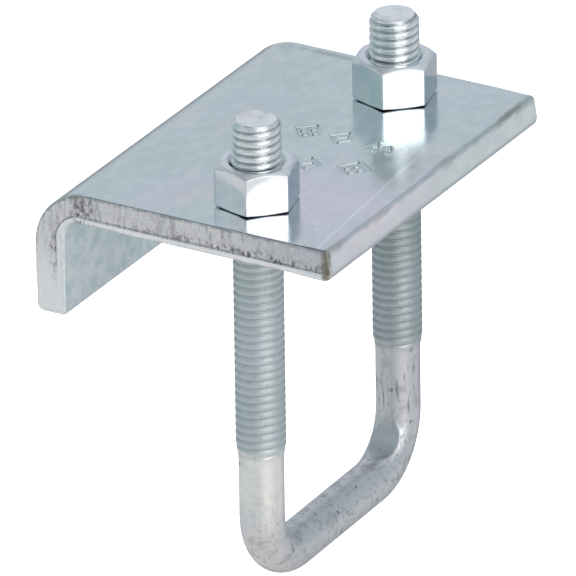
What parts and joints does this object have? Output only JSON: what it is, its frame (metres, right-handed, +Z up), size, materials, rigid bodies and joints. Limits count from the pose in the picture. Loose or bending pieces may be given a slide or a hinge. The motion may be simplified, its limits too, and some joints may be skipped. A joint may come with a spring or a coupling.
{
  "type": "beam clamp",
  "caption": "U-bolt beam clamp for strut channel: a folded plate with a down-turned lip, a square threaded U-bolt through it and a hex nut on each leg, zinc plated steel.",
  "frame": {"origin": "on the plate's flat underside, halfway between the U-bolt's two legs", "axes": "+Z up, away from the channel; -Z is the way the underside faces; +X from the legs to the plate's toe, -X to its folded lip; +Y along the fold"},
  "size_m": [0.0636, 0.0794, 0.0974],
  "materials": {
    "plated_plate": "bluish zinc plating, half glossy and mottled, rougher on the sheared ends",
    "plated_rod": "zinc plating, satin, with small pits and drawing marks",
    "plated_nut": "bright bluish zinc plating, glossy"
  },
  "bodies": {
    "plate": {"clamp_plate": "plated_plate"},
    "bolt": {"u_bolt": "plated_rod"},
    "nut_front": {"front_nut": "plated_nut"},
    "nut_rear": {"rear_nut": "plated_nut"}
  },
  "joints": [
    {"name": "bolt_travel", "type": "slide", "parent": "plate", "child": "bolt", "axis": [0, 0, 1], "range_m": [-0.00835, 0.04925]},
    {"name": "front_nut_turn", "type": "hinge", "parent": "plate", "child": "nut_front", "pos_m": [0.00007, -0.02617, 0], "axis": [0, 0, 1], "range_deg": [-11168.6, 1893.6]},
    {"name": "rear_nut_turn", "type": "hinge", "parent": "plate", "child": "nut_rear", "pos_m": [-0.00075, 0.02743, 0], "axis": [0, 0, 1], "range_deg": [-11168.6, 1893.6]}
  ],
  "couplings": [
    {"joint": "front_nut_turn", "follows": "bolt_travel", "rad_per_m": -3957.9},
    {"joint": "rear_nut_turn", "follows": "bolt_travel", "rad_per_m": -3957.9}
  ]
}
